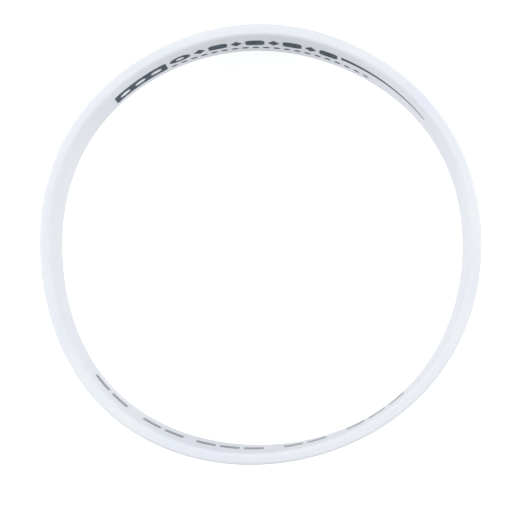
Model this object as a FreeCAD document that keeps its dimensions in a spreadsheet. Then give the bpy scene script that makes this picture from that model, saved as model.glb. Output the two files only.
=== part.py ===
"""Moulded silicone wristband with ink-filled marks on its inside wall.

The band lies on one edge. Z is its axis, the resting edge is at Z = 0, and the origin is under
the middle of the ring. Bearings are in degrees about Z, counted from +X towards +Y. Lengths are
in millimetres.

The silicone is one moulded ring whose relaxed outline is not quite round. Each mark of the
decoration is a shallow recess in the inside wall, filled with cured ink flush with the wall.
"""
import FreeCAD, Part
import math
import os

import Sketcher

# alias: value, what it is
SIZES = {
    "band_diameter": (66.0, "across the outside of the ring, as a mean"),
    "band_width": (12.0, "from the resting edge to the top edge"),
    "wall": (1.7, "thickness of the silicone"),
    "edge_round": (0.45, "rounding of all four edges"),
    "wave2_rise": (0.21, "two-fold wave of the outline, pull on its control points"),
    "wave2_bearing": (33, "bearing of that wave's first crest"),
    "wave3_rise": (0.22, "three-fold wave"),
    "wave3_bearing": (-3, "bearing of its first crest"),
    "wave4_rise": (0.21, "four-fold wave"),
    "wave4_bearing": (-37, "bearing of its first crest"),
    "wave5_rise": (0.11, "five-fold wave"),
    "wave5_bearing": (17, "bearing of its first crest"),
    "wave6_rise": (0.08, "six-fold wave"),
    "wave6_bearing": (-27, "bearing of its first crest"),
    "ink_depth": (0.3, "depth of the recesses, and of the ink in them"),
    "cutter_reach": (2.5, "how far a mark's prism runs either side of the inside wall"),
    "mark_gap": (1.1, "bare wall between neighbouring marks of the long row, in degrees"),
    "lead_bearing": (126, "middle of the lead bar, where the long row starts"),
    "lead_span": (17.4, "length of the lead bar, in degrees of the wall"),
    "lead_height": (5.1, "height of the lead bar"),
    "lead_corner": (0.5, "corner radius of the lead bar"),
    "window_diameter": (1.9, "round windows left bare in the lead bar"),
    "window_pitch": (5.3, "spacing of the windows, in degrees"),
    "accent_rise": (1.1, "accent ring's middle above the band's mid height"),
    "accent_diameter": (3.4, "outside of the accent ring"),
    "accent_bore": (1.4, "inside of the accent ring"),
    "main_pitch": (10.6, "spacing of the bar and lozenge pairs, in degrees"),
    "main_count": (4, "bar and lozenge pairs in the main row"),
    "main_rise": (1.1, "main row's middle above the band's mid height"),
    "main_height": (3.0, "height of the main row"),
    "bar_span": (5.4, "length of a bar, in degrees"),
    "lozenge_span": (3.4, "length of a lozenge, in degrees"),
    "tail_span": (29.0, "length of the tail that runs on from the main row, in degrees"),
    "tail_height": (1.5, "height of the tail at its thick end"),
    "tail_tip": (0.5, "height of the tail at its tip"),
    "tail_rise": (1.7, "tail's middle above the band's mid height"),
    "fine_pitch": (3.0, "spacing of the dots, in degrees"),
    "fine_count": (20, "dots in the fine row"),
    "fine_drop": (2.3, "fine row's middle below the band's mid height"),
    "dot_diameter": (1.1, "dots of the fine row"),
    "dash_span": (5.6, "length of a dash of the far wall's row, in degrees"),
    "dash_height": (0.7, "height of one of a dash's two lines"),
    "dash_spread": (1.2, "spacing of those two lines"),
    "dash_rise": (0.8, "middle of the dashes above the band's mid height"),
    "dash_pitch": (6.8, "spacing of the dashes in a group, in degrees"),
    "dash1_count": (2, "dashes in group 1"),
    "dash2_count": (2, "dashes in group 2"),
    "dash3_count": (3, "dashes in group 3"),
    "dash4_count": (2, "dashes in group 4"),
    "dash5_count": (3, "dashes in group 5"),
    "dash1_bearing": (221.2, "first dash of group 1"),
    "dash2_step": (10.9, "from group 1's last dash to group 2's first, in degrees"),
    "dash3_step": (9.2, "from group 2's last dash to group 3's first"),
    "dash4_step": (11.2, "from group 3's last dash to group 4's first"),
    "dash5_step": (11.7, "from group 4's last dash to group 5's first"),
}
WAVES = (2, 3, 4, 5, 6)
CONTROL_POINTS = 24

OUTSIDE = "Sizes.band_diameter / 2"
INSIDE = "(Sizes.band_diameter / 2 - Sizes.wall)"
MID_HEIGHT = "Sizes.band_width / 2"
START, END, CENTRE = 1, 2, 3      # which point of a sketch's line, arc or circle
UPRIGHT = FreeCAD.Vector(0, 0, 1)

doc = FreeCAD.newDocument("wristband")


def make_sheet():
    """The driving sizes, one row each: name, value, meaning."""
    sheet = doc.addObject("Spreadsheet::Sheet", "Sizes")
    for row, (alias, (value, meaning)) in enumerate(SIZES.items(), start=1):
        sheet.set(f"A{row}", alias)
        sheet.set(f"B{row}", str(value))
        sheet.set(f"C{row}", meaning)
        sheet.setAlias(f"B{row}", alias)
    doc.recompute()


def origin_feature(body, role):
    """A plane or an axis of the body's own origin."""
    return next(item for item in body.Origin.OriginFeatures if item.Role == role)


def new_body(name):
    return doc.addObject("PartDesign::Body", name)


def new_sketch(body, name, plane):
    sketch = body.newObject("Sketcher::SketchObject", name)
    sketch.AttachmentSupport = [(origin_feature(body, plane), "")]
    sketch.MapMode = "FlatFace"
    return sketch


def number(formula):
    """What a formula of the sheet's cells comes to now."""
    return float(doc.Sizes.evalExpression(formula))


def spot(across, up):
    """The point of a sketch at two formulas."""
    return FreeCAD.Vector(number(across), number(up), 0)


def constrain(sketch, formula, kind, *where):
    """Adds one dimension and binds it to the formula."""
    index = sketch.addConstraint(Sketcher.Constraint(kind, *where, number(formula)))
    sketch.setExpression(f"Constraints[{index}]", formula)


def pin(sketch, geometry, vertex, across, up):
    """Holds a point at a place that two formulas give, from the sketch's origin."""
    constrain(sketch, across, "DistanceX", -1, START, geometry, vertex)
    constrain(sketch, up, "DistanceY", -1, START, geometry, vertex)


def along_wall(span):
    """Length of an angle of the inside wall."""
    return f"{INSIDE} * {span} * pi / 180"


def angle_of(length):
    """Angle that a length of the inside wall takes up."""
    return f"{length} / {INSIDE} * 180 / pi"


# --- the ring ---------------------------------------------------------------------------------

def wavy_reach(radius, bearing):
    """Formula for how far the outline stands from the axis at a bearing."""
    waves = [f"Sizes.wave{n}_rise * cos({n} * ({bearing} - Sizes.wave{n}_bearing) * 1 deg)"
             for n in WAVES]
    return f"({radius} + {' + '.join(waves)})"


def wall_curve(sketch, radius):
    """Closed spline round the ring, its control points held by the outline's formula.

    A cubic spline runs inside its control points, so they stand out by the same share as they
    would on a circle.
    """
    step = 360 / CONTROL_POINTS
    stand_out = 6 / (4 + 2 * math.cos(math.radians(step)))
    places = []
    for n in range(CONTROL_POINTS):
        reach = f"{stand_out:.6f} * {wavy_reach(radius, step * n)}"
        places.append((f"{reach} * cos({step * n} deg)", f"{reach} * sin({step * n} deg)"))
    points = [spot(*place) for place in places]
    knots = list(range(CONTROL_POINTS + 1))
    spline = Part.BSplineCurve()
    spline.buildFromPolesMultsKnots(points, [1] * len(knots), knots, True, 3)
    curve = sketch.addGeometry(spline, False)
    handles = [sketch.addGeometry(Part.Circle(point, UPRIGHT, 1.0), True) for point in points]
    for n, handle in enumerate(handles):
        sketch.addConstraint(Sketcher.Constraint(
            "InternalAlignment:Sketcher::BSplineControlPoint", handle, CENTRE, curve, n))
        if n == 0:
            sketch.addConstraint(Sketcher.Constraint("Weight", handle, 1.0))
        else:
            sketch.addConstraint(Sketcher.Constraint("Equal", handles[0], handle))
        pin(sketch, handle, CENTRE, *places[n])


def ring(name, outer, inner):
    """A ring of the band's full width between two wall curves."""
    body = new_body(name)
    sketch = new_sketch(body, f"{name}_outline", "XY_Plane")
    wall_curve(sketch, outer)
    wall_curve(sketch, inner)
    pad = body.newObject("PartDesign::Pad", f"{name}_pad")
    pad.Profile = sketch
    pad.setExpression("Length", "Sizes.band_width")
    return body, pad


def make_blank():
    """The moulded ring before its recesses, with its four edges rounded."""
    body, pad = ring("band_blank", OUTSIDE, INSIDE)
    doc.recompute()
    rims = [f"Edge{n}" for n, edge in enumerate(pad.Shape.Edges, start=1)
            if edge.BoundBox.ZLength < 0.001]
    rounding = body.newObject("PartDesign::Fillet", "edge_rounding")
    rounding.Base = (pad, rims)
    rounding.setExpression("Radius", "Sizes.edge_round")
    return body


def make_ink_layer():
    """The skin of the inside wall that the recesses and the ink share."""
    body, _ = ring("ink_layer", f"{INSIDE} + Sizes.ink_depth", INSIDE)
    return body


# --- outlines of the marks, drawn as seen from the axis ------------------------------------------

def draw_disc(sketch, diameter, across="0", up=MID_HEIGHT):
    radius = f"{diameter} / 2"
    circle = sketch.addGeometry(Part.Circle(spot(across, up), UPRIGHT, number(radius)))
    constrain(sketch, radius, "Radius", circle)
    pin(sketch, circle, CENTRE, across, up)


def draw_four_sides(sketch, corners):
    """Closed outline with straight sides between four corners, each given by two formulas."""
    sides = [sketch.addGeometry(Part.LineSegment(spot(*corners[n - 1]), spot(*corners[n])))
             for n in range(4)]
    for n, side in enumerate(sides):
        sketch.addConstraint(Sketcher.Constraint("Coincident", sides[n - 1], END, side, START))
        pin(sketch, side, END, *corners[n])


def draw_lozenge(sketch, length, height, across, up):
    draw_four_sides(sketch, [(f"{across} - {length} / 2", up), (across, f"{up} - {height} / 2"),
                             (f"{across} + {length} / 2", up), (across, f"{up} + {height} / 2")])


def draw_rounded_bar(sketch, length, height, corner, up):
    """Rectangle with round corners, its middle on the sketch's upright axis."""
    quarter = math.pi / 2
    radius = number(corner)
    arcs = []
    for n, (side, level) in enumerate(((1, 1), (-1, 1), (-1, -1), (1, -1))):
        place = (f"{side} * ({length} / 2 - {corner})",
                 f"{up} + {level} * ({height} / 2 - {corner})")
        circle = Part.Circle(spot(*place), UPRIGHT, radius)
        arc = sketch.addGeometry(Part.ArcOfCircle(circle, n * quarter, (n + 1) * quarter))
        pin(sketch, arc, CENTRE, *place)
        arcs.append(arc)
    constrain(sketch, corner, "Radius", arcs[0])
    for n, arc in enumerate(arcs):
        before = arcs[n - 1]
        ends = (sketch.getPoint(before, END), sketch.getPoint(arc, START))
        line = sketch.addGeometry(Part.LineSegment(*ends))
        sketch.addConstraint(Sketcher.Constraint("Tangent", before, END, line, START))
        sketch.addConstraint(Sketcher.Constraint("Tangent", line, END, arc, START))


def draw_lead_bar(sketch):
    """A solid bar with three round windows that stay bare silicone."""
    draw_rounded_bar(sketch, along_wall("Sizes.lead_span"), "Sizes.lead_height",
                     "Sizes.lead_corner", MID_HEIGHT)
    for place in (-1, 0, 1):
        draw_disc(sketch, "Sizes.window_diameter", along_wall(f"{place} * Sizes.window_pitch"))


def draw_accent_ring(sketch):
    level = f"{MID_HEIGHT} + Sizes.accent_rise"
    draw_disc(sketch, "Sizes.accent_diameter", up=level)
    draw_disc(sketch, "Sizes.accent_bore", up=level)


def draw_main_pair(sketch):
    """A bar with a lozenge after it, half a pitch on."""
    level = f"{MID_HEIGHT} + Sizes.main_rise"
    half_pitch = along_wall("Sizes.main_pitch / 2")
    draw_rounded_bar(sketch, along_wall("Sizes.bar_span"), "Sizes.main_height",
                     "Sizes.main_height / 4", level)
    draw_lozenge(sketch, along_wall("Sizes.lozenge_span"), "Sizes.main_height", half_pitch, level)


def draw_tail(sketch):
    """A long line that tapers away from the main row."""
    level = f"{MID_HEIGHT} + Sizes.tail_rise"
    thick_end = along_wall("Sizes.tail_span / 2")
    tip = along_wall("-Sizes.tail_span / 2")
    draw_four_sides(sketch, [(thick_end, f"{level} - Sizes.tail_height / 2"),
                             (thick_end, f"{level} + Sizes.tail_height / 2"),
                             (tip, f"{level} + Sizes.tail_tip / 2"),
                             (tip, f"{level} - Sizes.tail_tip / 2")])


def draw_fine_dot(sketch):
    draw_disc(sketch, "Sizes.dot_diameter", up=f"{MID_HEIGHT} - Sizes.fine_drop")


def draw_dash(sketch):
    """A double dash: two thin bars, one over the other."""
    for side in (-1, 1):
        level = f"{MID_HEIGHT} + Sizes.dash_rise + {side} * Sizes.dash_spread / 2"
        draw_rounded_bar(sketch, along_wall("Sizes.dash_span"), "Sizes.dash_height",
                         "Sizes.dash_height / 3", level)


# --- the ink ------------------------------------------------------------------------------------

# The long row runs from the lead bar towards lower bearings: accent ring, main row and tail, and
# the fine row under them. Each starts where its neighbour ends.
LEAD_END = "(Sizes.lead_bearing - Sizes.lead_span / 2)"
ACCENT_HALF = angle_of("Sizes.accent_diameter / 2")
ACCENT_BEARING = f"({LEAD_END} - Sizes.mark_gap - {ACCENT_HALF})"
MAIN_BEARING = (f"{ACCENT_BEARING} - {ACCENT_HALF} - Sizes.mark_gap"
                " - Sizes.lozenge_span / 2 - Sizes.main_pitch / 2")
TAIL_BEARING = (f"{MAIN_BEARING} - (Sizes.main_count - 1) * Sizes.main_pitch"
                " - Sizes.bar_span / 2 - Sizes.mark_gap - Sizes.tail_span / 2")
FINE_BEARING = f"{LEAD_END} - Sizes.mark_gap - {angle_of('Sizes.dot_diameter / 2')}"


def dash_bearing(group):
    """Bearing of a group's first dash, a step on from the last dash of the group before."""
    if group == 1:
        return "Sizes.dash1_bearing"
    before = group - 1
    return (f"{dash_bearing(before)} + (Sizes.dash{before}_count - 1) * Sizes.dash_pitch"
            f" + Sizes.dash{group}_step")


def make_ink(node, draw, bearing, pitch=None, count=None, falling=False):
    """Ink that fills one mark, or a row of equal marks, in the ink layer."""
    body = new_body(f"{node}_cutter")
    sketch = new_sketch(body, f"{node}_shape", "YZ_Plane")
    sketch.setExpression("AttachmentOffset.Base.z", f"{INSIDE} - Sizes.cutter_reach")
    draw(sketch)
    prism = body.newObject("PartDesign::Pad", f"{node}_prism")
    prism.Profile = sketch
    prism.setExpression("Length", "2 * Sizes.cutter_reach")
    if count:
        row = body.newObject("PartDesign::PolarPattern", f"{node}_row")
        row.Originals = [prism]
        row.Axis = (origin_feature(body, "Z_Axis"), [""])
        row.Mode = "Spacing"
        row.setExpression("Offset", f"{pitch} * 1 deg")
        row.setExpression("Occurrences", count)
        row.Reversed = falling
        body.Tip = row
    body.setExpression("Placement.Rotation.Angle", f"({bearing}) * 1 deg")
    ink = doc.addObject("Part::Common", node)
    ink.Base = ink_layer
    ink.Tool = body
    return ink


def make_band(blank, inks):
    """The moulded ring with a recess for every piece of ink."""
    all_ink = doc.addObject("Part::Compound", "all_ink")
    all_ink.Links = inks
    band = doc.addObject("Part::Cut", "silicone_band")
    band.Base = blank
    band.Tool = all_ink
    return band


def check_and_export(pieces):
    """Stops on any failed feature, then writes one STEP file for each piece."""
    for item in doc.Objects:
        if {"Invalid", "Error"} & set(item.State):
            raise RuntimeError(f"{item.Label} did not recompute")
    for piece in pieces:
        if piece.Shape.isNull() or not piece.Shape.isValid() or piece.Shape.Volume <= 0:
            raise RuntimeError(f"{piece.Label} has no sound solid")
    os.makedirs("parts", exist_ok=True)
    for piece in pieces:
        piece.Shape.exportStep(f"parts/{piece.Label}.step")
        print(f"{piece.Label}: {len(piece.Shape.Solids)} solids, {piece.Shape.Volume:.2f} mm3")


make_sheet()
band_blank = make_blank()
ink_layer = make_ink_layer()
inks = [
    make_ink("lead_bar_ink", draw_lead_bar, "Sizes.lead_bearing"),
    make_ink("accent_ring_ink", draw_accent_ring, ACCENT_BEARING),
    make_ink("main_row_ink", draw_main_pair, MAIN_BEARING,
             "Sizes.main_pitch", "Sizes.main_count", falling=True),
    make_ink("tail_ink", draw_tail, TAIL_BEARING),
    make_ink("fine_row_ink", draw_fine_dot, FINE_BEARING,
             "Sizes.fine_pitch", "Sizes.fine_count", falling=True),
]
for group in (1, 2, 3, 4, 5):
    inks.append(make_ink(f"dash_group_{group}_ink", draw_dash, dash_bearing(group),
                         "Sizes.dash_pitch", f"Sizes.dash{group}_count"))
silicone_band = make_band(band_blank, inks)
doc.recompute()
check_and_export([silicone_band] + inks)
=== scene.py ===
"""Looks of a moulded silicone wristband with ink-filled marks round its inside wall.

The band stands on one edge, with its axis along Z. The ring, its outline and the place of every
mark come from the CAD frame. What is added here is the soft band's lean and crown, the parting
ridge, the shape of each mark's ink, every finish, and the studio. Lengths are in metres.
"""

import math

import bmesh
import bpy
import numpy as np
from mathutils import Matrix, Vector


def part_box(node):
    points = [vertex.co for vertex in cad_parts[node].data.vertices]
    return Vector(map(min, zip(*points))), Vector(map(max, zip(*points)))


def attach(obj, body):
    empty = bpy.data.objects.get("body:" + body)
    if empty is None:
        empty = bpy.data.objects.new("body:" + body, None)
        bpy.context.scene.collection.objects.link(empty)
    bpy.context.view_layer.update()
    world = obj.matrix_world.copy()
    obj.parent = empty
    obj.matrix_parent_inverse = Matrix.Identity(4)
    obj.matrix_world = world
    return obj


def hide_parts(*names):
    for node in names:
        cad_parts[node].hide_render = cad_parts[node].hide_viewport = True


bl_info = {
    "name": "Silicone wristband",
    "version": (1, 0, 0),
    "blender": (4, 5, 0),
    "location": "3D View > Sidebar > Wristband",
    "description": "Builds a printed silicone wristband round its CAD frame",
    "category": "Add Mesh",
}

MM = 0.001
BODY = "root"
BAND = "silicone_ring"
INK = "slate_silicone_ink"
WAVE_ORDERS = (1, 2, 3, 4, 5, 6)      # turns round the ring of the outline's waves
SMOOTH_BELOW = math.radians(35)       # edges that turn more than this stay crisp
SQUARE_ON = 0.9                       # cosine above which a face looks along a direction
SIDEWAYS = 0.5                        # cosine below which a face looks across it
SAME_PLACE = 0.001 * MM               # vertices this near each other are one
ON_WALL = 0.01 * MM                   # a vertex this near a wall lies on it

# the section's rows
ROUNDING_SEGMENTS = 6
CROWN_CUTS = 11
RIDGE_ROWS = (-3, -1.5, -1, 0, 1, 1.5, 3)     # heights, in half widths of the ridge

# the marks
CORNER_SEGMENTS = 5
RING_SIDES, DOT_SIDES, WINDOW_SIDES, LOZENGE_SIDES = 48, 24, 32, 4
WINDOW_CUTTER = 4 * MM                # length of a window's cutter, well past both faces
LOZENGE_BELOW = 0.8                   # a mark shorter than this share of its height
BAR_CORNER, DASH_CORNER = 1 / 4, 1 / 3        # corner radii, as shares of the height
DASH_GROUPS = (1, 2, 3, 4, 5)

# the studio; each softbox has a name, a place and a power
SOFTBOX_SIZE = (0.40, 0.30)
SOFTBOXES = (("left_softbox", (-0.45, 0.05, 0.30), 1.58),
             ("right_softbox", (0.45, 0.05, 0.30), 1.47),
             ("back_softbox", (0, 0.45, 0.30), 0.28),
             ("front_softbox", (0, -0.45, 0.30), 0.06))
FLOOR_SIZE = 2
BACKDROP_RADIUS, BACKDROP_HEIGHT, BACKDROP_SIDES = 0.7, 2, 96
HORIZON_BLUR = 0.02                   # share of the sky, each way, where the two lights mix
PALE_PAPER = 1.02                     # brightness of the paper's palest patches, its own being 1
NEAR_CLIP = 0.01

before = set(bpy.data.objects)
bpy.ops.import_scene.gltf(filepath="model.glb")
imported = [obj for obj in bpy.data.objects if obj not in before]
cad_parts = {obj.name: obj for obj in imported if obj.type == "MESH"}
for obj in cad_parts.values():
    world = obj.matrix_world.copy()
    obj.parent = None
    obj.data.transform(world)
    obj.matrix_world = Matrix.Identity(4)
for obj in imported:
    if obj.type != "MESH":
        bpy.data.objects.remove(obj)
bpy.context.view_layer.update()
band_low, band_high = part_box("silicone_band")
BAND_WIDTH = band_high.z - band_low.z


# --- what the CAD frame says --------------------------------------------------------------------

def wall_points(facing):
    """Bearing and reach of the CAD band's wall points that face out (1) or in (-1)."""
    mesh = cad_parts["silicone_band"].data
    found = []
    for face in mesh.polygons:
        outward = Vector((*face.center.xy, 0)).normalized()
        if face.normal.dot(outward) * facing > SQUARE_ON:
            found.extend(mesh.vertices[index].co for index in face.vertices)
    points = np.array(found)
    return np.arctan2(points[:, 1], points[:, 0]), np.hypot(points[:, 0], points[:, 1])


def wave_terms(bearing):
    """The cosine and sine of each wave order at a bearing, one column each."""
    columns = [wave(order * bearing) for order in WAVE_ORDERS for wave in (np.cos, np.sin)]
    return np.stack(columns, axis=-1)


def read_outline():
    """Outside radius, inside radius and the waves of the CAD band's outline."""
    bearing, reach = wall_points(1)
    terms = np.column_stack([np.ones_like(bearing), wave_terms(bearing)])
    solution = np.linalg.lstsq(terms, reach, rcond=None)[0]
    outside, waves = solution[0], solution[1:]
    bearing, reach = wall_points(-1)
    inside = np.median(reach - wave_terms(bearing) @ waves)
    return float(outside), float(inside), waves


OUTSIDE, INSIDE, WAVES = read_outline()
WALL = OUTSIDE - INSIDE


class Outline:
    """A mark's or a hole's side wall, laid flat: its bearing, length, middle and height."""

    def __init__(self, points):
        middle = points.mean(axis=0)
        facing = math.atan2(middle[1], middle[0])
        across = points @ np.array([-math.sin(facing), math.cos(facing), 0])
        low, high = points[:, 2].min(), points[:, 2].max()
        self.bearing = facing + math.asin((across.max() + across.min()) / 2 / INSIDE)
        self.length = float(np.ptp(across))
        self.middle = (low + high) / 2
        self.height = high - low
        self.holes = []

    def clockwise_from(self, other):
        """How far along the wall it is from another outline."""
        return math.remainder(other.bearing - self.bearing, 2 * math.pi) * INSIDE

    def holds(self, other):
        """Whether the other outline lies inside it."""
        return (self.length > other.length
                and abs(self.clockwise_from(other)) < self.length / 2
                and abs(self.middle - other.middle) < self.height / 2)


def take_patch(first):
    """A tagged face and all that join it, in order, with their tags taken off."""
    first.tag = False
    patch = [first]
    for face in patch:
        for near in [near for edge in face.edges for near in edge.link_faces]:
            if near.tag:
                near.tag = False
                patch.append(near)
    return patch


def marks_of(node):
    """The outline of each mark of an ink node, with its holes, found from the side walls."""
    shape = bmesh.new()
    shape.from_mesh(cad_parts[node].data)
    bmesh.ops.remove_doubles(shape, verts=shape.verts, dist=SAME_PLACE)
    for face in shape.faces:
        outward = Vector((*face.calc_center_median().xy, 0)).normalized()
        face.tag = abs(face.normal.dot(outward)) < SIDEWAYS
    outlines = [Outline(np.array([v.co for face in take_patch(first) for v in face.verts]))
                for first in shape.faces if first.tag]
    shape.free()
    holes = [line for line in outlines if any(mark.holds(line) for mark in outlines)]
    marks = [line for line in outlines if line not in holes]
    for mark in marks:
        mark.holes = [hole for hole in holes if mark.holds(hole)]
    return sorted(marks, key=lambda mark: mark.bearing)


def ink_depth():
    """Depth of the CAD ink below the inside wall."""
    points = np.array([v.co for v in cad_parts["fine_row_ink"].data.vertices])
    bearing = np.arctan2(points[:, 1], points[:, 0])
    reach = np.hypot(points[:, 0], points[:, 1]) - wave_terms(bearing) @ WAVES
    return float(reach.max() - INSIDE)


INK_DEPTH = ink_depth()


# --- what a user may change ---------------------------------------------------------------------

class WristbandShape(bpy.types.PropertyGroup):
    """How the soft ring differs from its straight CAD solid."""
    round_steps: bpy.props.IntProperty(
        name="Steps round", description="Faces round the ring", default=360, min=90, max=720)
    edge_round: bpy.props.FloatProperty(
        name="Edge rounding", description="Rounding of the four edges",
        default=0.45 * MM, unit="LENGTH", subtype="DISTANCE", precision=5)
    crown: bpy.props.FloatProperty(
        name="Inside crown", description="How far the inside wall swells at mid height",
        default=0.21 * MM, unit="LENGTH", subtype="DISTANCE", precision=5)
    lean2: bpy.props.FloatProperty(
        name="Two-fold lean", description="How far the resting edge stands out past the top edge",
        default=0.27 * MM, unit="LENGTH", subtype="DISTANCE", precision=5)
    lean2_bearing: bpy.props.FloatProperty(
        name="Two-fold bearing", description="Where the two-fold lean is outward",
        default=math.radians(-21), unit="ROTATION", subtype="ANGLE")
    lean3: bpy.props.FloatProperty(
        name="Three-fold lean", description="Three-fold part of the lean",
        default=0.055 * MM, unit="LENGTH", subtype="DISTANCE", precision=5)
    lean3_bearing: bpy.props.FloatProperty(
        name="Three-fold bearing", description="Where the three-fold lean is outward",
        default=math.radians(53), unit="ROTATION", subtype="ANGLE")
    lean4: bpy.props.FloatProperty(
        name="Four-fold lean", description="Four-fold part of the lean",
        default=0.14 * MM, unit="LENGTH", subtype="DISTANCE", precision=5)
    lean4_bearing: bpy.props.FloatProperty(
        name="Four-fold bearing", description="Where the four-fold lean is outward",
        default=math.radians(33), unit="ROTATION", subtype="ANGLE")
    ridge_height: bpy.props.FloatProperty(
        name="Parting ridge height", description="Ridge where the mould halves met",
        default=0.03 * MM, unit="LENGTH", subtype="DISTANCE", precision=5)
    ridge_width: bpy.props.FloatProperty(
        name="Parting ridge width", description="Width of that ridge at its foot",
        default=0.16 * MM, unit="LENGTH", subtype="DISTANCE", precision=5)


class WristbandInk(bpy.types.PropertyGroup):
    """How the ink lies in its recesses."""
    dip: bpy.props.FloatProperty(
        name="Dip", description="How far the ink's face lies below the wall",
        default=0.004 * MM, unit="LENGTH", subtype="DISTANCE", precision=5)
    meniscus: bpy.props.FloatProperty(
        name="Meniscus", description="Further dip of the ink inside its rim",
        default=0.01 * MM, unit="LENGTH", subtype="DISTANCE", precision=5)
    rim: bpy.props.FloatProperty(
        name="Rim", description="Width of the ink's raised rim",
        default=0.14 * MM, unit="LENGTH", subtype="DISTANCE", precision=5)
    lead_corner: bpy.props.FloatProperty(
        name="Lead bar corner", description="Corner radius of the lead bar",
        default=0.5 * MM, unit="LENGTH", subtype="DISTANCE", precision=5)
    tail_tip: bpy.props.FloatProperty(
        name="Tail tip", description="Height of the tail's tip, as a share of its thick end",
        default=1 / 3, min=0.05, max=1)
    cut_reach: bpy.props.FloatProperty(
        name="Cutter reach", description="How far a recess's cutter stands clear of the wall",
        default=0.2 * MM, unit="LENGTH", subtype="DISTANCE", precision=5)
    cut_step: bpy.props.FloatProperty(
        name="Cut step", description="Spacing of the cuts that let a mark follow the wall",
        default=0.55 * MM, unit="LENGTH", subtype="DISTANCE", precision=5)


class WristbandFinish(bpy.types.PropertyGroup):
    """Colours and sheen."""
    silicone: bpy.props.FloatVectorProperty(
        name="Silicone", description="Body colour of the silicone", subtype="COLOR",
        size=4, min=0, max=1, default=(0.80, 0.832, 0.868, 1))
    silicone_shade: bpy.props.FloatVectorProperty(
        name="Silicone shade", description="Its cooler tone, in soft patches", subtype="COLOR",
        size=4, min=0, max=1, default=(0.765, 0.79, 0.858, 1))
    dust: bpy.props.FloatVectorProperty(
        name="Dust", description="Colour of the few specks of dust that it holds", subtype="COLOR",
        size=4, min=0, max=1, default=(0.55, 0.55, 0.55, 1))
    ink: bpy.props.FloatVectorProperty(
        name="Ink", description="Body colour of the cured ink", subtype="COLOR",
        size=4, min=0, max=1, default=(0.035, 0.055, 0.078, 1))
    ink_thin: bpy.props.FloatVectorProperty(
        name="Thin ink", description="Ink colour where it lies thin", subtype="COLOR",
        size=4, min=0, max=1, default=(0.08, 0.11, 0.145, 1))


class WristbandStudio(bpy.types.PropertyGroup):
    """Floor, lights and camera."""
    eye: bpy.props.FloatVectorProperty(
        name="Eye", description="Where the camera stands", subtype="TRANSLATION", unit="LENGTH",
        default=(6.7 * MM, -10.71 * MM, BAND_WIDTH + 214.45 * MM), precision=4)
    aim: bpy.props.FloatVectorProperty(
        name="Aim", description="The point in the middle of the view", subtype="TRANSLATION",
        unit="LENGTH", default=(0.398 * MM, -2.567 * MM, BAND_WIDTH), precision=4)
    lens: bpy.props.FloatProperty(
        name="Lens", description="Focal length, in millimetres", default=99.905)
    room_light: bpy.props.FloatProperty(
        name="Room light", description="Even light from the room above",
        default=0.49, min=0, max=1)
    table_light: bpy.props.FloatProperty(
        name="Table light", description="Even light back from the table",
        default=0.79, min=0, max=1)
    floor: bpy.props.FloatVectorProperty(
        name="Floor", description="Colour of the floor", subtype="COLOR",
        size=4, min=0, max=1, default=(0.95, 0.95, 0.95, 1))


# --- the soft shape -----------------------------------------------------------------------------

def inside_swell(height):
    """How far the inside wall's crown stands in at a height."""
    crown = bpy.context.scene.wristband_shape.crown
    share = (height - BAND_WIDTH / 2) / (BAND_WIDTH / 2)
    return crown * max(0.0, 1 - share * share)


def lean(bearing, height):
    """How far the wall stands out at a height, against the top edge."""
    shape = bpy.context.scene.wristband_shape
    whole = (shape.lean2 * math.cos(2 * (bearing - shape.lean2_bearing))
             + shape.lean3 * math.cos(3 * (bearing - shape.lean3_bearing))
             + shape.lean4 * math.cos(4 * (bearing - shape.lean4_bearing)))
    return whole * (1 - height / BAND_WIDTH)


def on_wall(bearing, height, depth):
    """The point at a depth into the silicone from the inside wall."""
    reach = (INSIDE + depth + float(wave_terms(bearing) @ WAVES) + lean(bearing, height)
             - inside_swell(height) * (1 - depth / WALL))
    return Vector((reach * math.cos(bearing), reach * math.sin(bearing), height))


# --- modelling helpers --------------------------------------------------------------------------

def only(obj):
    """Makes one object the selected and active one."""
    bpy.ops.object.select_all(action="DESELECT")
    obj.select_set(True)
    bpy.context.view_layer.objects.active = obj


def start_piece(name):
    """Names the primitive just added and opens it, all selected, for editing."""
    obj = bpy.context.object
    obj.name = obj.data.name = name
    only(obj)
    bpy.ops.object.transform_apply(location=True, rotation=True, scale=True)
    bpy.ops.object.mode_set(mode="EDIT")
    bpy.ops.mesh.select_all(action="SELECT")
    return obj


def pick(obj, kind, wanted):
    """Selects the vertices, edges or faces that the test wants, and only those."""
    bpy.ops.mesh.select_mode(type={"verts": "VERT", "edges": "EDGE", "faces": "FACE"}[kind])
    bpy.ops.mesh.select_all(action="DESELECT")
    shape = bmesh.from_edit_mesh(obj.data)
    for item in getattr(shape, kind):
        item.select_set(wanted(item))
    shape.select_flush_mode()
    bmesh.update_edit_mesh(obj.data)


def finish_piece(obj, material):
    """Puts the piece on the band's body with its material."""
    obj.data.materials.clear()
    obj.data.materials.append(material)
    only(obj)
    bpy.ops.object.shade_smooth_by_angle(angle=SMOOTH_BELOW)
    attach(obj, BODY)


# --- materials ----------------------------------------------------------------------------------

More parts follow.
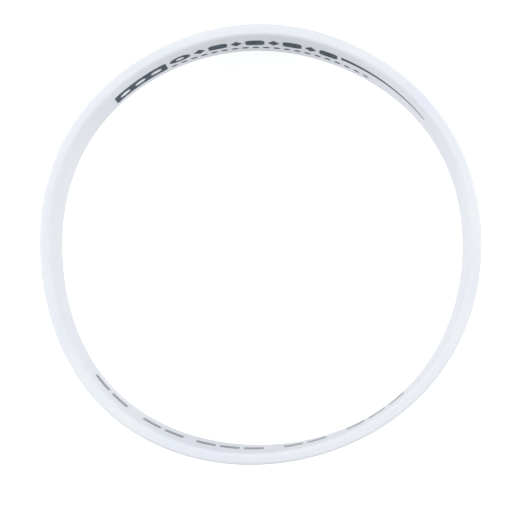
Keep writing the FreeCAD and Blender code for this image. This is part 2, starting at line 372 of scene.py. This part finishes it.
class Finish:
    """A new material's shader, with the few kinds of node that the finishes share."""

    def __init__(self, name):
        self.material = bpy.data.materials.new(name)
        self.material.use_nodes = True
        self.tree = self.material.node_tree
        self.shader = self.tree.nodes["Principled BSDF"]
        self.place = self.tree.nodes.new("ShaderNodeTexCoord").outputs["Object"]

    def noise(self, scale, detail, roughness=0.5):
        """Cloudy noise: so many patches to the metre, and that much detail in them."""
        node = self.tree.nodes.new("ShaderNodeTexNoise")
        node.inputs["Scale"].default_value = scale
        node.inputs["Detail"].default_value = detail
        node.inputs["Roughness"].default_value = roughness
        self.tree.links.new(self.place, node.inputs["Vector"])
        return node.outputs["Fac"]

    def specks(self, scale):
        """Scattered points: how far the nearest one is, in parts of their spacing."""
        node = self.tree.nodes.new("ShaderNodeTexVoronoi")
        node.inputs["Scale"].default_value = scale
        self.tree.links.new(self.place, node.inputs["Vector"])
        return node.outputs["Distance"]

    def ramp(self, factor, low, high):
        """Blends between two stops of the factor, each with its colour or grey."""
        node = self.tree.nodes.new("ShaderNodeValToRGB")
        for element, (position, colour) in zip(node.color_ramp.elements, (low, high)):
            element.position = position
            element.color = colour if hasattr(colour, "__len__") else (colour,) * 3 + (1,)
        self.tree.links.new(factor, node.inputs["Fac"])
        return node.outputs["Color"]

    def tint(self, under, over, amount):
        """Lays one colour over another by an amount."""
        node = self.tree.nodes.new("ShaderNodeMix")
        node.data_type = "RGBA"
        self.tree.links.new(amount, node.inputs["Factor"])
        self.tree.links.new(under, node.inputs["A"])
        node.inputs["B"].default_value = over
        return node.outputs["Result"]

    def bump(self, height, distance, under=None):
        """Relief of that depth, over another relief if one is given."""
        node = self.tree.nodes.new("ShaderNodeBump")
        node.inputs["Distance"].default_value = distance
        self.tree.links.new(height, node.inputs["Height"])
        if under is not None:
            self.tree.links.new(under, node.inputs["Normal"])
        return node.outputs["Normal"]

    def feed(self, **sockets):
        """Links nodes to the shader's sockets, whose names have underscores for spaces."""
        for name, output in sockets.items():
            self.tree.links.new(output, self.shader.inputs[name.replace("_", " ")])

    def fix(self, values):
        """Sets the shader's constants."""
        for name, value in values.items():
            self.shader.inputs[name].default_value = value


def silicone_material():
    """Matte moulded silicone: soft tone patches, a blasted mould's grain and a trace of dust."""
    colours = bpy.context.scene.wristband_finish
    finish = Finish("matte_white_silicone")
    patches = finish.noise(scale=60, detail=3, roughness=0.55)
    body = finish.ramp(patches, (0.35, tuple(colours.silicone_shade)),
                       (0.65, tuple(colours.silicone)))
    dust = finish.ramp(finish.specks(scale=420), (0.03, 0.35), (0.06, 0.0))
    moulded = finish.bump(finish.noise(scale=170, detail=2), distance=0.03 * MM)
    grain = finish.noise(scale=5200, detail=3, roughness=0.6)
    handled = finish.noise(scale=420, detail=4)
    finish.feed(Base_Color=finish.tint(body, tuple(colours.dust), dust),
                Roughness=finish.ramp(handled, (0.3, 0.44), (0.7, 0.60)),
                Normal=finish.bump(grain, distance=0.012 * MM, under=moulded))
    finish.fix({"Subsurface Weight": 0.25, "Subsurface Radius": (1.0, 0.9, 0.8),
                "Subsurface Scale": 1.2 * MM, "IOR": 1.41, "Specular IOR Level": 0.4,
                "Sheen Weight": 0.05, "Sheen Roughness": 0.5})
    return finish.material


def ink_material():
    """Cured silicone ink: slate, paler in small patches where it lies thin, with a dull skin."""
    if INK in bpy.data.materials:
        return bpy.data.materials[INK]
    colours = bpy.context.scene.wristband_finish
    finish = Finish(INK)
    thinness = finish.noise(scale=1500, detail=5, roughness=0.65)
    pinholes = finish.ramp(finish.specks(scale=2600), (0.05, 0.0), (0.12, 1.0))
    skin = finish.bump(finish.noise(scale=6000, detail=3), distance=0.01 * MM)
    dullness = finish.noise(scale=900, detail=3)
    finish.feed(Base_Color=finish.ramp(thinness, (0.36, tuple(colours.ink)),
                                       (0.70, tuple(colours.ink_thin))),
                Roughness=finish.ramp(dullness, (0.3, 0.50), (0.7, 0.68)),
                Normal=finish.bump(pinholes, distance=0.008 * MM, under=skin))
    finish.fix({"IOR": 1.41, "Specular IOR Level": 0.2})
    return finish.material


def floor_material(colour):
    """Pale seamless paper over a lit table."""
    finish = Finish("white_paper_floor")
    pale = tuple(min(1, channel * PALE_PAPER) for channel in colour[:3]) + (1,)
    patches = finish.noise(scale=30, detail=2)
    finish.feed(Base_Color=finish.ramp(patches, (0.3, colour), (0.7, pale)))
    finish.fix({"Roughness": 0.9, "Specular IOR Level": 0.1, "Emission Color": (1, 1, 1, 1),
                "Emission Strength": 0.38})
    return finish.material


# --- the band -----------------------------------------------------------------------------------

class WRISTBAND_OT_band(bpy.types.Operator):
    """Spin the rounded wall section into a ring, then let it lie as the soft band does"""
    bl_idname = "wristband.band"
    bl_label = "Silicone band"

    def execute(self, context):
        shape = context.scene.wristband_shape
        bpy.ops.object.select_all(action="DESELECT")
        bpy.ops.mesh.primitive_plane_add(
            size=1, location=((OUTSIDE + INSIDE) / 2, 0, BAND_WIDTH / 2),
            rotation=(math.pi / 2, 0, 0))
        bpy.context.object.scale = (WALL, BAND_WIDTH, 1)
        band = start_piece(BAND)
        bpy.ops.mesh.bevel(
            offset=shape.edge_round, segments=ROUNDING_SEGMENTS, affect="VERTICES")
        self.cut_inside_wall(band)
        self.raise_ridge(band, shape)
        bpy.ops.mesh.select_all(action="SELECT")
        bpy.ops.mesh.delete(type="ONLY_FACE")
        bpy.ops.mesh.select_all(action="SELECT")
        bpy.ops.mesh.spin(steps=shape.round_steps, angle=2 * math.pi,
                          center=(0, 0, 0), axis=(0, 0, 1))
        bpy.ops.mesh.select_all(action="SELECT")
        bpy.ops.mesh.remove_doubles(threshold=SAME_PLACE)
        bpy.ops.mesh.normals_make_consistent(inside=False)
        bpy.ops.object.mode_set(mode="OBJECT")
        for vertex in band.data.vertices:
            depth = vertex.co.xy.length - INSIDE
            vertex.co = on_wall(math.atan2(vertex.co.y, vertex.co.x), vertex.co.z, depth)
        finish_piece(band, silicone_material())
        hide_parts("silicone_band")
        return {"FINISHED"}

    @staticmethod
    def cut_inside_wall(band):
        """Rows across the inside wall, for its crown."""
        pick(band, "edges", lambda edge: all(abs(v.co.x - INSIDE) < ON_WALL for v in edge.verts))
        bpy.ops.mesh.subdivide(number_cuts=CROWN_CUTS)

    @staticmethod
    def raise_ridge(band, shape):
        """The parting ridge round the middle of the outside wall, with flat rows either side."""
        pick(band, "edges", lambda edge: all(abs(v.co.x - OUTSIDE) < ON_WALL for v in edge.verts))
        bpy.ops.mesh.subdivide(number_cuts=len(RIDGE_ROWS))
        section = bmesh.from_edit_mesh(band.data)
        wall = sorted((v for v in section.verts if abs(v.co.x - OUTSIDE) < ON_WALL),
                      key=lambda v: v.co.z)
        half = shape.ridge_width / 2
        for vertex, row in zip(wall[1:-1], RIDGE_ROWS):
            vertex.co.z = BAND_WIDTH / 2 + row * half
            vertex.co.x += shape.ridge_height if row == 0 else 0
        bmesh.update_edit_mesh(band.data)


# --- the ink ------------------------------------------------------------------------------------
# A mark is drawn flat: X runs clockwise along the wall, Y into the silicone, and Z is its height.

def start_bar(mark):
    """A flat rectangle of the mark's size, opened for editing."""
    bpy.ops.object.select_all(action="DESELECT")
    bpy.ops.mesh.primitive_plane_add(size=1, rotation=(math.pi / 2, 0, 0))
    bpy.context.object.scale = (mark.length, mark.height, 1)
    return start_piece("mark")


def draw_bar(mark, corner):
    """A bar with round corners."""
    obj = start_bar(mark)
    bpy.ops.mesh.bevel(offset=corner, segments=CORNER_SEGMENTS, affect="VERTICES")
    return obj


def draw_tail(mark, tip):
    """A bar narrowed to a tip at its clockwise end."""
    obj = start_bar(mark)
    pick(obj, "verts", lambda vertex: vertex.co.x > 0)
    bpy.ops.transform.resize(value=(1, 1, tip), center_override=(0, 0, 0))
    return obj


def draw_round(mark, sides):
    """A flat disc, or a lozenge with four sides."""
    bpy.ops.object.select_all(action="DESELECT")
    bpy.ops.mesh.primitive_circle_add(vertices=sides, radius=0.5, fill_type="NGON",
                                      rotation=(math.pi / 2, 0, 0))
    bpy.context.object.scale = (mark.length, mark.height, 1)
    return start_piece("mark")


def cut_for_wall(length):
    """Cuts the open flat mark upright, so that it can follow the wall, and closes it."""
    step = bpy.context.scene.wristband_ink.cut_step
    cuts = int(length / step)
    for n in range(1, cuts + 1):
        across = length * (n / (cuts + 1) - 0.5)
        bpy.ops.mesh.select_all(action="SELECT")
        bpy.ops.mesh.bisect(plane_co=(across, 0, 0), plane_no=(1, 0, 0))
    bpy.ops.object.mode_set(mode="OBJECT")


def thicken(depth):
    """Extrudes the flat mark into the silicone."""
    bpy.ops.mesh.select_all(action="SELECT")
    bpy.ops.mesh.extrude_region_move(TRANSFORM_OT_translate={"value": (0, depth, 0)})
    bpy.ops.mesh.select_all(action="SELECT")
    bpy.ops.mesh.normals_make_consistent(inside=False)


def dish(obj):
    """Insets the visible face and lets it sink inside its rim."""
    ink = bpy.context.scene.wristband_ink
    pick(obj, "faces", lambda face: face.normal.y < -SQUARE_ON)
    bpy.ops.mesh.inset(thickness=ink.rim, depth=-ink.meniscus)


def subtract(obj, cutter):
    """Cuts one object out of another and removes the cutter."""
    only(obj)
    cut = obj.modifiers.new("cut", "BOOLEAN")
    cut.operation = "DIFFERENCE"
    cut.solver = "EXACT"
    cut.object = cutter
    bpy.ops.object.modifier_apply(modifier="cut")
    bpy.data.objects.remove(cutter)


def clean_rims(obj):
    """Merges the slivers that a cut leaves, and keeps the new rims crisp."""
    only(obj)
    bpy.ops.object.mode_set(mode="EDIT")
    bpy.ops.mesh.select_all(action="SELECT")
    bpy.ops.mesh.remove_doubles(threshold=SAME_PLACE)
    bpy.ops.mesh.dissolve_degenerate(threshold=SAME_PLACE)
    bpy.ops.object.mode_set(mode="OBJECT")
    bpy.ops.object.shade_smooth_by_angle(angle=SMOOTH_BELOW)


def wrap(obj, bearing, height):
    """Lays a flat mark on the inside wall."""
    for vertex in obj.data.vertices:
        across, depth, up = vertex.co
        vertex.co = on_wall(bearing - across / INSIDE, height + up, depth)


def solid_mark(draw, mark, front, back):
    """A flat mark's solid between two depths, with its holes, left open for editing."""
    obj = draw(mark)
    thicken(back - front)
    bpy.ops.mesh.select_all(action="SELECT")
    bpy.ops.transform.translate(value=(0, front, 0))
    bpy.ops.object.mode_set(mode="OBJECT")
    for hole in mark.holes:
        bpy.ops.object.select_all(action="DESELECT")
        bpy.ops.mesh.primitive_cylinder_add(
            vertices=WINDOW_SIDES, radius=hole.height / 2, depth=WINDOW_CUTTER,
            rotation=(math.pi / 2, 0, 0),
            location=(hole.clockwise_from(mark), 0, hole.middle - mark.middle))
        subtract(obj, bpy.context.object)
    only(obj)
    bpy.ops.object.mode_set(mode="EDIT")
    return obj


def fill_and_cutter(draw, mark):
    """A flat mark of ink, and the solid that cuts its recess."""
    ink = bpy.context.scene.wristband_ink
    fill = solid_mark(draw, mark, ink.dip, INK_DEPTH)
    dish(fill)
    cut_for_wall(mark.length)
    cutter = solid_mark(draw, mark, -ink.cut_reach, INK_DEPTH)
    cut_for_wall(mark.length)
    return fill, cutter


def join(objects):
    """Joins objects into the first."""
    bpy.ops.object.select_all(action="DESELECT")
    for obj in objects:
        obj.select_set(True)
    bpy.context.view_layer.objects.active = objects[0]
    if len(objects) > 1:
        bpy.ops.object.join()
    return objects[0]


def lay_marks(name, node, draw):
    """Fills one CAD node's marks with ink and cuts their recesses in the band.

    Marks of one size, to 0.1 mm, are drawn once and copied.
    """
    drawn, laid = {}, ([], [])
    for mark in marks_of(node):
        size = round(mark.length / MM, 1), round(mark.height / MM, 1)
        if size not in drawn:
            drawn[size] = fill_and_cutter(draw, mark)
        for flat, copies in zip(drawn[size], laid):
            copy = bpy.data.objects.new(name, flat.data.copy())
            bpy.context.collection.objects.link(copy)
            wrap(copy, mark.bearing, mark.middle)
            copies.append(copy)
    for flat in (obj for pair in drawn.values() for obj in pair):
        bpy.data.objects.remove(flat)
    fills, cutters = laid
    band = bpy.data.objects[BAND]
    subtract(band, join(cutters))
    clean_rims(band)
    filled = join(fills)
    filled.name = filled.data.name = name
    finish_piece(filled, ink_material())
    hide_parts(node)


def draw_bar_or_lozenge(mark):
    """A main row mark: those that are clearly taller than long are lozenges."""
    if mark.length < LOZENGE_BELOW * mark.height:
        return draw_round(mark, LOZENGE_SIDES)
    return draw_bar(mark, mark.height * BAR_CORNER)


class WRISTBAND_OT_lead_bar(bpy.types.Operator):
    """Fill the large lead bar, with its three round windows"""
    bl_idname = "wristband.lead_bar"
    bl_label = "Lead bar"

    def execute(self, context):
        corner = context.scene.wristband_ink.lead_corner
        lay_marks("lead_bar_fill", "lead_bar_ink", lambda mark: draw_bar(mark, corner))
        return {"FINISHED"}


class WRISTBAND_OT_accent_ring(bpy.types.Operator):
    """Fill the small ring beside the lead bar"""
    bl_idname = "wristband.accent_ring"
    bl_label = "Accent ring"

    def execute(self, context):
        lay_marks("accent_ring_fill", "accent_ring_ink",
                  lambda mark: draw_round(mark, RING_SIDES))
        return {"FINISHED"}


class WRISTBAND_OT_main_row(bpy.types.Operator):
    """Fill the main row of round-cornered bars and lozenges"""
    bl_idname = "wristband.main_row"
    bl_label = "Main row"

    def execute(self, context):
        lay_marks("main_row_fill", "main_row_ink", draw_bar_or_lozenge)
        return {"FINISHED"}


class WRISTBAND_OT_tail(bpy.types.Operator):
    """Fill the thin tail that runs on from the main row"""
    bl_idname = "wristband.tail"
    bl_label = "Tail"

    def execute(self, context):
        tip = context.scene.wristband_ink.tail_tip
        lay_marks("tail_fill", "tail_ink", lambda mark: draw_tail(mark, tip))
        return {"FINISHED"}


class WRISTBAND_OT_fine_row(bpy.types.Operator):
    """Fill the fine row of dots under the main row"""
    bl_idname = "wristband.fine_row"
    bl_label = "Fine row"

    def execute(self, context):
        lay_marks("fine_row_fill", "fine_row_ink", lambda mark: draw_round(mark, DOT_SIDES))
        return {"FINISHED"}


class WRISTBAND_OT_dash_groups(bpy.types.Operator):
    """Fill the five groups of dashes on the opposite wall"""
    bl_idname = "wristband.dash_groups"
    bl_label = "Dash groups"

    def execute(self, context):
        for number in DASH_GROUPS:
            lay_marks(f"dash_group_{number}_fill", f"dash_group_{number}_ink",
                      lambda mark: draw_bar(mark, mark.height * DASH_CORNER))
        return {"FINISHED"}


# --- the studio ---------------------------------------------------------------------------------

def softbox(name, place, power):
    """A soft rectangular light that faces the middle of the band."""
    light = bpy.data.lights.new(name, "AREA")
    light.shape = "RECTANGLE"
    light.size, light.size_y = SOFTBOX_SIZE
    light.energy = power
    obj = bpy.data.objects.new(name, light)
    obj.location = place
    aim = Vector((0, 0, BAND_WIDTH / 2)) - obj.location
    obj.rotation_euler = aim.to_track_quat("-Z", "Y").to_euler()
    bpy.context.scene.collection.objects.link(obj)


class WRISTBAND_OT_studio(bpy.types.Operator):
    """Set out the white floor, the soft lights and the camera"""
    bl_idname = "wristband.studio"
    bl_label = "Studio"

    def execute(self, context):
        studio = context.scene.wristband_studio
        paper = floor_material(tuple(studio.floor))
        bpy.ops.object.select_all(action="DESELECT")
        bpy.ops.mesh.primitive_plane_add(size=FLOOR_SIZE, location=(0, 0, 0))
        self.set_paper(context.object, "floor", paper)
        bpy.ops.mesh.primitive_cylinder_add(
            vertices=BACKDROP_SIDES, radius=BACKDROP_RADIUS, depth=BACKDROP_HEIGHT,
            location=(0, 0, BACKDROP_HEIGHT / 2), end_fill_type="NOTHING")
        self.set_paper(context.object, "backdrop", paper)
        bpy.ops.object.shade_smooth()
        self.light_the_air(context.scene, studio)
        for light in SOFTBOXES:
            softbox(*light)
        self.stand_camera(context.scene, studio)
        context.scene.view_settings.view_transform = "Standard"
        context.scene.view_settings.look = "None"
        return {"FINISHED"}

    @staticmethod
    def set_paper(obj, name, paper):
        """A paper surface that the camera sees, and that sends no light or shadow to the band."""
        obj.name = obj.data.name = name
        obj.data.materials.append(paper)
        obj.visible_diffuse = obj.visible_glossy = obj.visible_shadow = False

    @staticmethod
    def stand_camera(scene, studio):
        """The camera at its eye point, tilted but not rolled towards its aim."""
        camera = bpy.data.objects.new("camera", bpy.data.cameras.new("camera"))
        camera.location = studio.eye
        gaze = Vector(studio.aim) - Vector(studio.eye)
        camera.rotation_euler = (math.atan2(gaze.y, -gaze.z), math.atan2(-gaze.x, -gaze.z), 0)
        camera.data.lens = studio.lens
        camera.data.clip_start = NEAR_CLIP
        scene.collection.objects.link(camera)
        scene.camera = camera

    @staticmethod
    def light_the_air(scene, studio):
        """Even light from the white room above and, stronger, from the lit table below."""
        world = scene.world or bpy.data.worlds.new("studio_air")
        scene.world = world
        world.use_nodes = True
        tree = world.node_tree
        direction = tree.nodes.new("ShaderNodeTexCoord").outputs["Generated"]
        split = tree.nodes.new("ShaderNodeSeparateXYZ")
        blend = tree.nodes.new("ShaderNodeValToRGB")
        below, above = blend.color_ramp.elements
        below.position, above.position = 0.5 - HORIZON_BLUR, 0.5 + HORIZON_BLUR
        below.color = (studio.table_light,) * 3 + (1,)
        above.color = (studio.room_light,) * 3 + (1,)
        half = tree.nodes.new("ShaderNodeMapRange")
        half.inputs["From Min"].default_value = -1
        half.inputs["From Max"].default_value = 1
        tree.links.new(direction, split.inputs["Vector"])
        tree.links.new(split.outputs["Z"], half.inputs["Value"])
        tree.links.new(half.outputs["Result"], blend.inputs["Fac"])
        background = tree.nodes["Background"]
        tree.links.new(blend.outputs["Color"], background.inputs["Color"])
        background.inputs["Strength"].default_value = 1


# --- the add-on ---------------------------------------------------------------------------------

STEPS = (WRISTBAND_OT_band, WRISTBAND_OT_lead_bar, WRISTBAND_OT_accent_ring,
         WRISTBAND_OT_main_row, WRISTBAND_OT_tail, WRISTBAND_OT_fine_row,
         WRISTBAND_OT_dash_groups, WRISTBAND_OT_studio)
SETTINGS = {"wristband_shape": WristbandShape, "wristband_ink": WristbandInk,
            "wristband_finish": WristbandFinish, "wristband_studio": WristbandStudio}


class WRISTBAND_PT_sidebar(bpy.types.Panel):
    """Sizes, colours and steps of the wristband"""
    bl_idname = "WRISTBAND_PT_sidebar"
    bl_label = "Silicone wristband"
    bl_space_type = "VIEW_3D"
    bl_region_type = "UI"
    bl_category = "Wristband"

    def draw(self, context):
        for name, settings in SETTINGS.items():
            box = self.layout.box()
            for setting in settings.__annotations__:
                box.prop(getattr(context.scene, name), setting)
        for step in STEPS:
            self.layout.operator(step.bl_idname)


def register():
    for part in (*SETTINGS.values(), *STEPS, WRISTBAND_PT_sidebar):
        bpy.utils.register_class(part)
    for name, settings in SETTINGS.items():
        setattr(bpy.types.Scene, name, bpy.props.PointerProperty(type=settings))


def unregister():
    for name in SETTINGS:
        delattr(bpy.types.Scene, name)
    for part in reversed((*SETTINGS.values(), *STEPS, WRISTBAND_PT_sidebar)):
        bpy.utils.unregister_class(part)


def main():
    register()
    for step in STEPS:
        family, _, name = step.bl_idname.partition(".")
        getattr(getattr(bpy.ops, family), name)()


if __name__ == "__main__":
    main()
